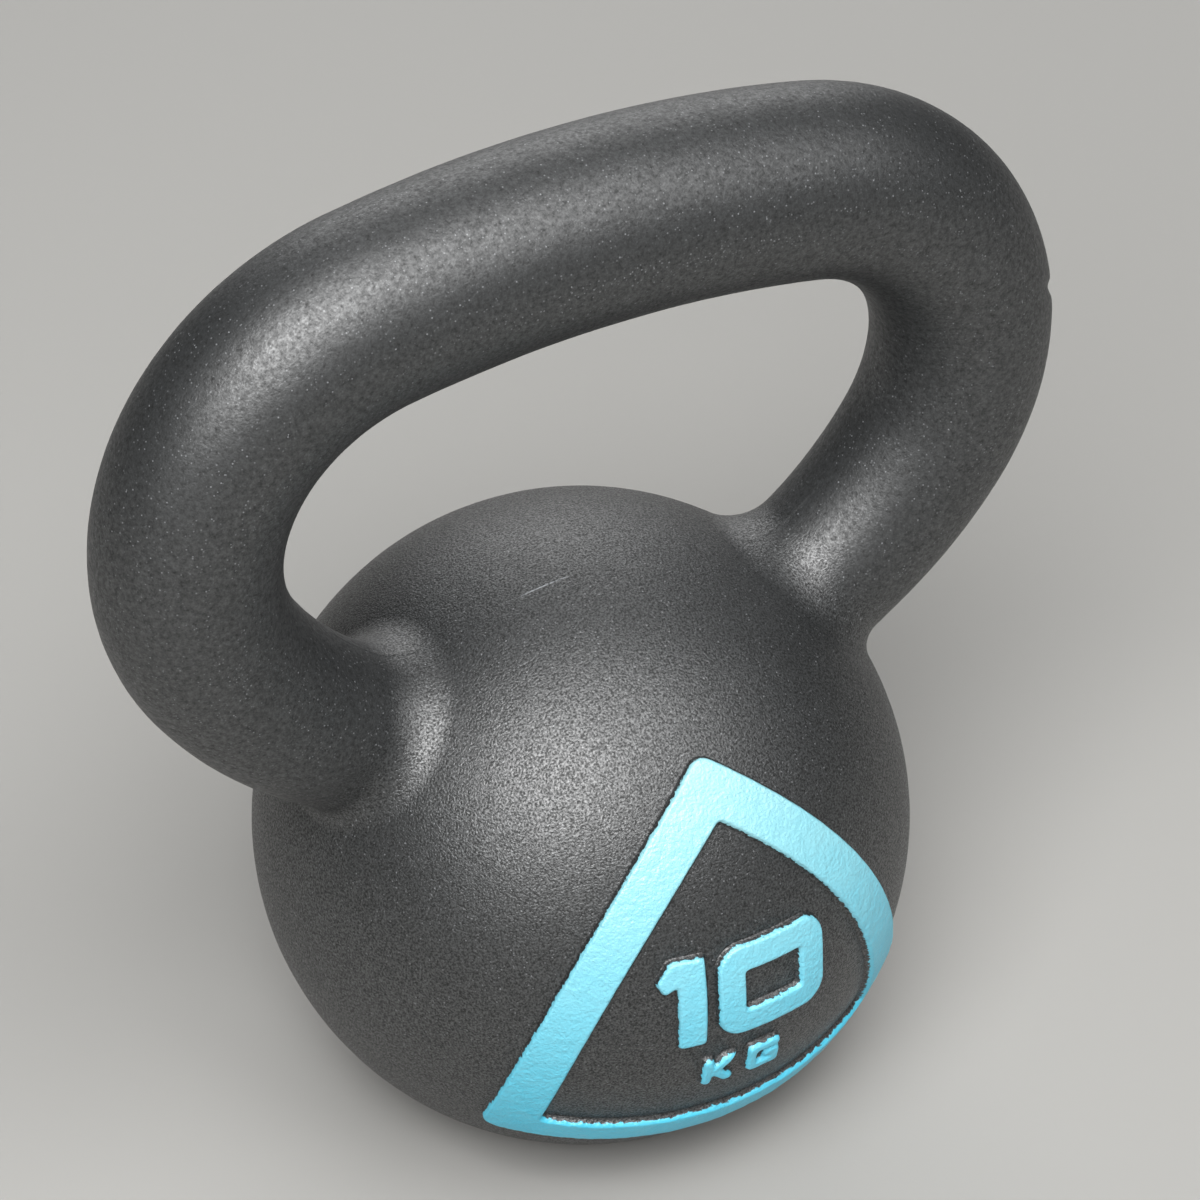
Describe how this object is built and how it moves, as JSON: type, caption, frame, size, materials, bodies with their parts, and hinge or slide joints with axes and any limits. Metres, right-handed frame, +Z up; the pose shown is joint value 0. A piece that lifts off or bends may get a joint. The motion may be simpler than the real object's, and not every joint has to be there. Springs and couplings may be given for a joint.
{
  "type": "kettlebell",
  "caption": "Solid cast-iron kettlebell: round ball with a flat base, looped two-hand handle, and a raised painted triangle badge with numerals on the front.",
  "frame": {"origin": "centre of the flat base, on the surface that the kettlebell stands on", "axes": "+Z up through the middle of the grip, +X along the grip from one horn to the other, -Y towards the raised badge"},
  "size_m": [0.1952, 0.1296, 0.2097],
  "materials": {
    "ball_coat": "fine sand-textured charcoal powder coat, satin",
    "handle_coat": "coarser orange-peel charcoal powder coat, satin",
    "badge_paint": "light blue enamel on the raised tops, slight orange peel"
  },
  "bodies": {
    "root": {"ball": "ball_coat", "handle": "handle_coat", "badge_frame": "badge_paint", "numeral_one": "badge_paint", "numeral_zero": "badge_paint", "letter_k": "badge_paint", "letter_g": "badge_paint"}
  },
  "joints": []
}
